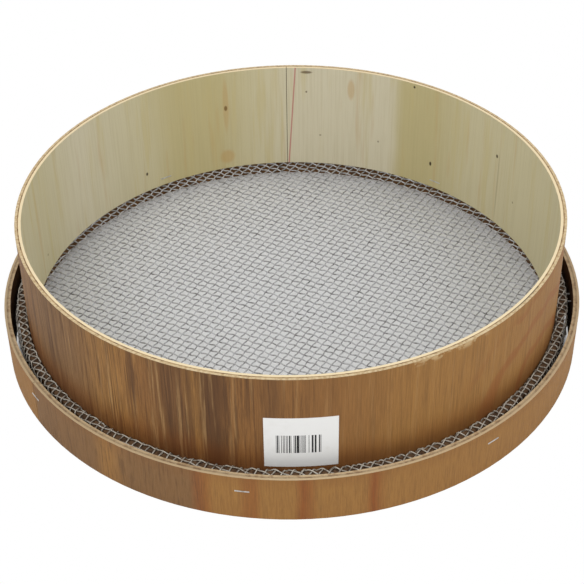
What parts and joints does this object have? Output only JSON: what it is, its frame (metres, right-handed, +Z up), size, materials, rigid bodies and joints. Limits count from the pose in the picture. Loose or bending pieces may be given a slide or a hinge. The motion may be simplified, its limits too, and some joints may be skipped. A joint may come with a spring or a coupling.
{
  "type": "drum sieve",
  "caption": "Round drum sieve: a tall bent plywood drum pressed over woven wire mesh into a clamp ring, with a low rim hoop that it stands on.",
  "frame": {"origin": "centre of the foot, in the plane on which the rim hoop and the clamp ring stand", "axes": "+Z up along the drum's axis, -Y towards the label"},
  "size_m": [0.4603, 0.4606, 0.115],
  "materials": {
    "brown_veneer": "sawn veneer, unvarnished",
    "dark_core": "dark glued core",
    "pale_veneer": "sanded pale veneer",
    "hoop_core": "cut ply edge",
    "galvanised_wire": "dull galvanised",
    "staple_steel": "bright drawn wire",
    "label_paper": "matt paper"
  },
  "bodies": {
    "root": {"drum_outer_ply": "brown_veneer", "drum_core_ply": "dark_core", "drum_inner_ply": "pale_veneer", "clamp_inner_ply": "brown_veneer", "clamp_core_ply": "hoop_core", "clamp_outer_ply": "brown_veneer", "rim_inner_ply": "hoop_core", "rim_core_ply": "hoop_core", "rim_outer_ply": "brown_veneer", "warp_wires": "galvanised_wire", "weft_wires": "galvanised_wire", "mesh_fold": "galvanised_wire", "rim_staples": "staple_steel", "drum_staples": "staple_steel", "label": "label_paper"}
  },
  "joints": []
}
